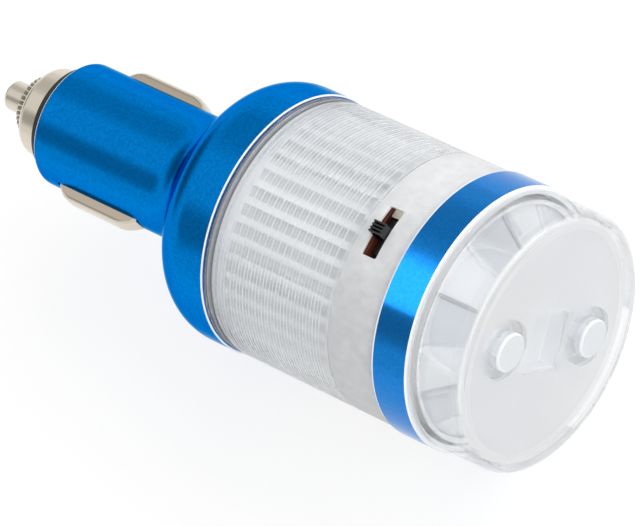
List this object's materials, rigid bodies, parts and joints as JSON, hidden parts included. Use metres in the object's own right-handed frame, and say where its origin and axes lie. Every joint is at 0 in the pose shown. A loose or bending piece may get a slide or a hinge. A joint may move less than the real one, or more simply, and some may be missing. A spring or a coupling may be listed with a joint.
{
  "type": "rechargeable lighter plug lamp",
  "caption": "Small lamp on a sprung lighter plug, with a flared bell, a ribbed clear side lantern, a slide switch and a clear torch head with holding magnets.",
  "frame": {"origin": "on the axis where the straight plug barrel ends and the bell begins to flare", "axes": "+X along the axis from the nose contact to the torch face, +Z through the slide switch, the side contacts on +Y and -Y"},
  "size_m": [0.1118, 0.043, 0.0442],
  "materials": {
    "blue_anodised": "blue anodised, polished",
    "nickel": "bright nickel plate",
    "spring_steel": "plain spring steel",
    "brass": "plain brass",
    "black_plastic": "black moulded plastic",
    "fibre": "brown laminate",
    "clear_plastic": "clear polished plastic",
    "frosted_plastic": "frosted clear plastic",
    "diffuser_plastic": "translucent white plastic",
    "cream_plastic": "cream moulded plastic",
    "fuse_glass": "clear glass",
    "board_green": "green circuit board",
    "board_white": "white circuit board",
    "component_grey": "dark moulded components",
    "cell_wrap": "green shrink wrap",
    "phosphor": "yellow phosphor lamp chips",
    "mirror_plate": "vacuum plated bright"
  },
  "bodies": {
    "root": {"body_shell": "blue_anodised", "insulator_core": "black_plastic", "fuse_spring": "spring_steel", "fuse_stud": "brass", "leaf_spring_left": "spring_steel", "leaf_spring_right": "spring_steel", "earth_strips": "brass", "charge_board": "board_green", "board_parts": "component_grey", "board_screws": "spring_steel", "rear_plate": "board_white", "cells": "cell_wrap", "cell_tabs": "spring_steel", "lantern_board": "board_white", "lantern_lights": "phosphor", "diffuser_sleeve": "diffuser_plastic", "lens_tube": "clear_plastic", "front_plate": "black_plastic", "switch_collar": "frosted_plastic", "switch_housing": "cream_plastic", "switch_base": "fibre", "switch_pins": "spring_steel", "trim_ring": "blue_anodised", "reflector": "mirror_plate", "torch_board": "board_white", "torch_light": "phosphor", "front_cap": "clear_plastic", "magnet_left": "nickel", "magnet_right": "nickel"},
    "nose_carriage": {"pin_washer": "fibre"},
    "nut": {"nose_nut": "nickel"},
    "pin": {"centre_contact": "nickel", "fuse_glass": "fuse_glass", "fuse_caps": "nickel"},
    "contact_left": {"side_contact_left": "nickel"},
    "contact_right": {"side_contact_right": "nickel"},
    "knob": {"switch_knob": "black_plastic"}
  },
  "joints": [
    {"name": "nut_travel", "type": "slide", "parent": "root", "child": "nose_carriage", "axis": [-1, 0, 0], "range_m": [0, 0.005], "deforming": ["fuse_spring"]},
    {"name": "nut_turn", "type": "hinge", "parent": "nose_carriage", "child": "nut", "pos_m": [-0.03, 0, 0], "axis": [-1, 0, 0], "range_deg": [0, 1800]},
    {"name": "pin_press", "type": "slide", "parent": "nose_carriage", "child": "pin", "axis": [1, 0, 0], "range_m": [0, 0.0024], "stiffness_N_per_m": 600, "springref_m": -0.004, "deforming": ["fuse_spring"]},
    {"name": "contact_left_press", "type": "slide", "parent": "root", "child": "contact_left", "axis": [0, -1, 0], "range_m": [0, 0.0013], "stiffness_N_per_m": 900, "springref_m": -0.001, "deforming": ["leaf_spring_left"]},
    {"name": "contact_right_press", "type": "slide", "parent": "root", "child": "contact_right", "axis": [0, 1, 0], "range_m": [0, 0.0013], "stiffness_N_per_m": 900, "springref_m": -0.001, "deforming": ["leaf_spring_right"]},
    {"name": "switch_slide", "type": "slide", "parent": "root", "child": "knob", "axis": [0, 1, 0], "range_m": [-0.002, 0.002]}
  ],
  "couplings": [
    {"joint": "nut_travel", "follows": "nut_turn", "m_per_rad": 0.000159}
  ]
}
